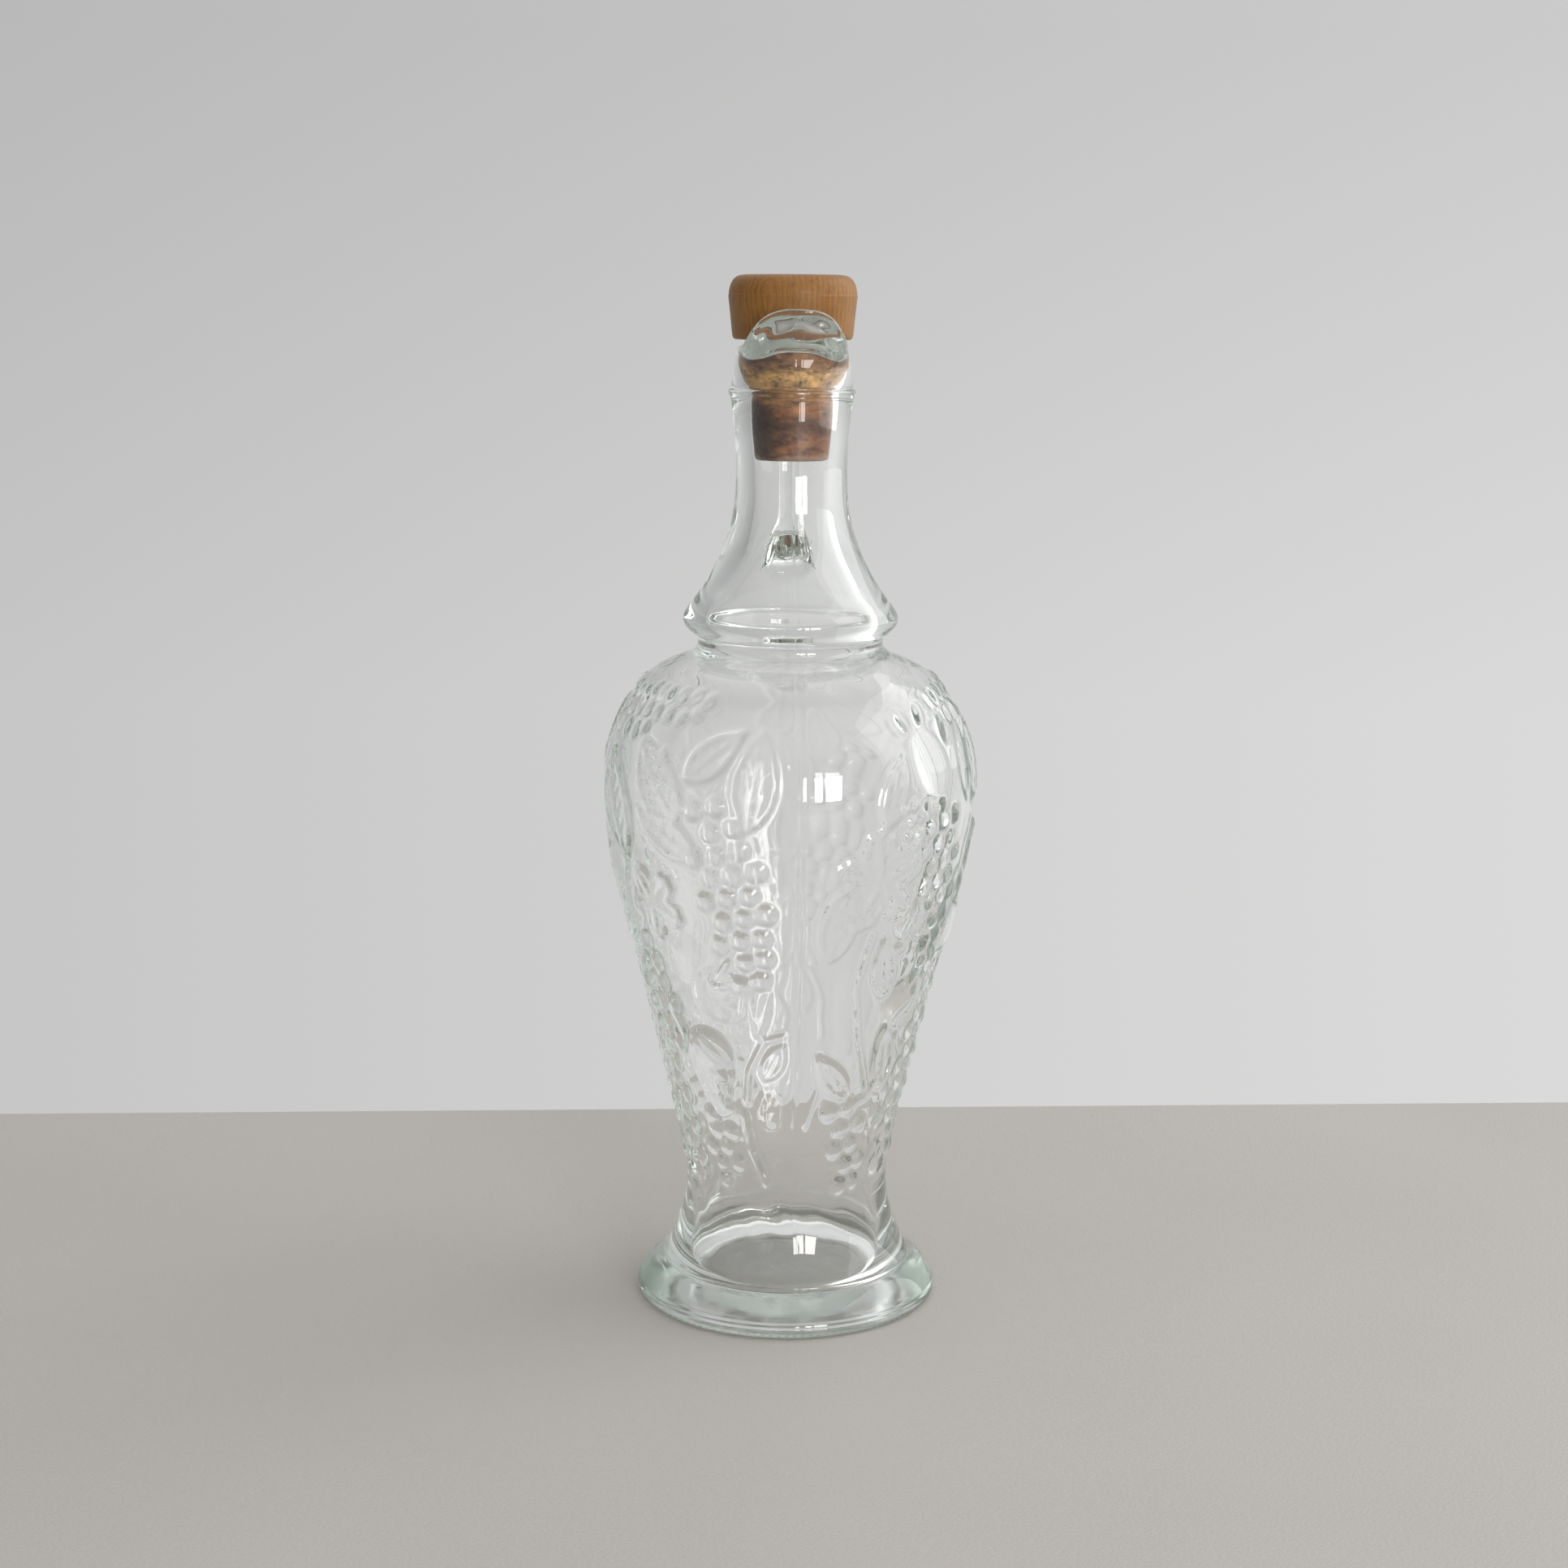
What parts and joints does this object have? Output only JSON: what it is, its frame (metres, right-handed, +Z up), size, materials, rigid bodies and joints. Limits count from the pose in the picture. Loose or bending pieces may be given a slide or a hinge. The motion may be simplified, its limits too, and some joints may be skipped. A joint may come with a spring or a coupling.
{
  "type": "glass oil bottle",
  "caption": "Tall footed glass oil bottle with embossed fruit, a pouring lip, a finger handle at the back and a cork stopper with a turned head.",
  "frame": {"origin": "centre of the foot's underside, on the bottle's axis", "axes": "+Z up along the bottle's axis, -Y towards the pouring lip, +Y towards the finger handle"},
  "size_m": [0.1132, 0.1132, 0.31],
  "materials": {
    "clear_glass": "clear, faint green tint, embossed",
    "natural_cork": "natural cork, oil-stained",
    "turned_wood": "satin caramel brown"
  },
  "bodies": {
    "bottle": {"glass_bottle": "clear_glass"},
    "stopper": {"stopper_cork": "natural_cork", "stopper_head": "turned_wood"}
  },
  "joints": [
    {"name": "stopper_lift", "type": "slide", "parent": "bottle", "child": "stopper", "axis": [0, 0, 1], "range_m": [0, 0.06]}
  ]
}
